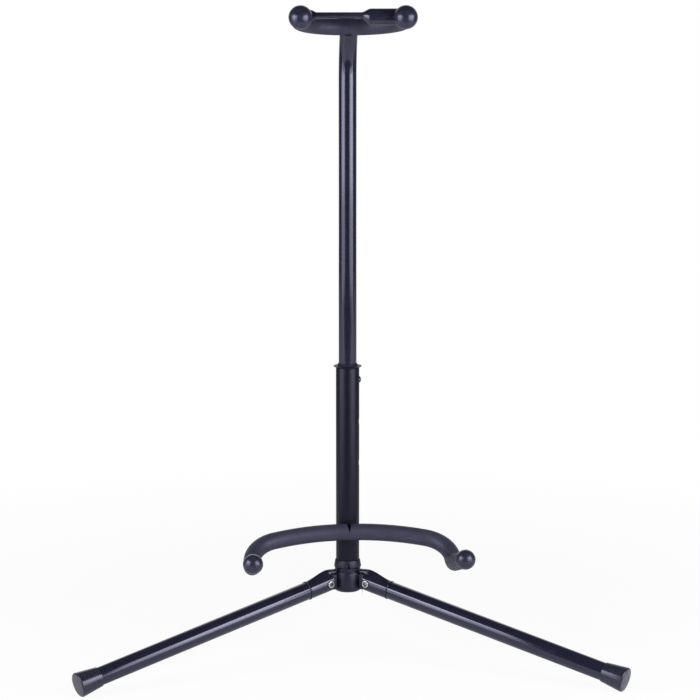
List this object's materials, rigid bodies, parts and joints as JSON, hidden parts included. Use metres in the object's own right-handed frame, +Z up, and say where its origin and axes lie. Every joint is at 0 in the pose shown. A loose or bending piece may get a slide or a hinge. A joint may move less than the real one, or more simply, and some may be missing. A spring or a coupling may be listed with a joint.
{
  "type": "guitar stand",
  "caption": "folding tripod guitar stand with a telescoping mast, padded cradle arms and a padded neck yoke closed by a rubber strap",
  "frame": {"origin": "on the floor, at the middle of the footprint's box; the mast stands about 76 mm in front of it", "axes": "+Z up along the mast, -Y towards the instrument, +X to the right of someone who faces the stand"},
  "size_m": [0.574, 0.4994, 0.6971],
  "materials": {
    "cast_hub": "die casting, black semi-gloss paint",
    "knuckle_paint": "die casting, gloss black paint",
    "satin_paint": "satin black powder coat on steel tube",
    "gloss_paint": "gloss black paint on steel tube",
    "black_plastic": "moulded black plastic",
    "sleeve_foam": "matte black soft sleeve",
    "cap_rubber": "smooth moulded black rubber",
    "strap_rubber": "glossy moulded black rubber",
    "boot_rubber": "moulded black rubber, satin",
    "bright_steel": "bright plated steel",
    "zinc_steel": "zinc plated steel",
    "rod_steel": "plain drawn steel rod",
    "spring_steel": "spring steel strip"
  },
  "bodies": {
    "base": {"hub": "cast_hub", "hub_bolt": "zinc_steel", "mast_plug": "zinc_steel", "stop_collar": "black_plastic", "lower_tube": "satin_paint", "mast_bush": "black_plastic", "cradle_rod": "rod_steel", "cradle_sleeve_left": "sleeve_foam", "cradle_cap_left": "cap_rubber", "cradle_sleeve_right": "sleeve_foam", "cradle_cap_right": "cap_rubber"},
    "leg_left": {"leg_knuckle_left": "knuckle_paint", "leg_tube_left": "gloss_paint", "foot_cap_left": "boot_rubber", "leg_rivet_left": "bright_steel"},
    "leg_right": {"leg_knuckle_right": "knuckle_paint", "leg_tube_right": "gloss_paint", "foot_cap_right": "boot_rubber", "leg_rivet_right": "bright_steel"},
    "leg_rear": {"leg_knuckle_rear": "knuckle_paint", "leg_tube_rear": "gloss_paint", "foot_cap_rear": "boot_rubber", "leg_rivet_rear": "bright_steel"},
    "upper_mast": {"upper_tube": "gloss_paint", "glide_plug": "black_plastic", "button_spring": "spring_steel", "neck_rod": "rod_steel", "neck_sleeve_left": "sleeve_foam", "neck_cap_left": "cap_rubber", "neck_sleeve_right": "sleeve_foam", "neck_cap_right": "cap_rubber"},
    "snap_button": {"snap_button": "bright_steel"},
    "neck_strap": {"neck_strap": "strap_rubber"}
  },
  "joints": [
    {"name": "leg_fold_left", "type": "hinge", "parent": "base", "child": "leg_left", "pos_m": [-0.02295, -0.09015, 0.07915], "axis": [0.5, -0.866, 0], "range_deg": [0, 77]},
    {"name": "leg_fold_right", "type": "hinge", "parent": "base", "child": "leg_right", "pos_m": [0.02295, -0.09015, 0.07915], "axis": [0.5, 0.866, 0], "range_deg": [0, 77]},
    {"name": "leg_fold_rear", "type": "hinge", "parent": "base", "child": "leg_rear", "pos_m": [0, -0.0504, 0.07915], "axis": [-1, 0, 0], "range_deg": [0, 77]},
    {"name": "mast_height", "type": "slide", "parent": "base", "child": "upper_mast", "axis": [0, 0, 1], "range_m": [-0.09, 0], "deforming": ["button_spring", "snap_button"]},
    {"name": "button_press", "type": "slide", "parent": "upper_mast", "child": "snap_button", "axis": [-0.9982, -0.0593, 0], "range_m": [0, 0.005], "stiffness_N_per_m": 800, "springref_m": -0.003, "deforming": ["button_spring"]},
    {"name": "strap_swing", "type": "hinge", "parent": "upper_mast", "child": "neck_strap", "pos_m": [0.05537, -0.15911, 0.6828], "axis": [-0.0259, 0.9873, -0.1564], "range_deg": [0, 150]}
  ]
}
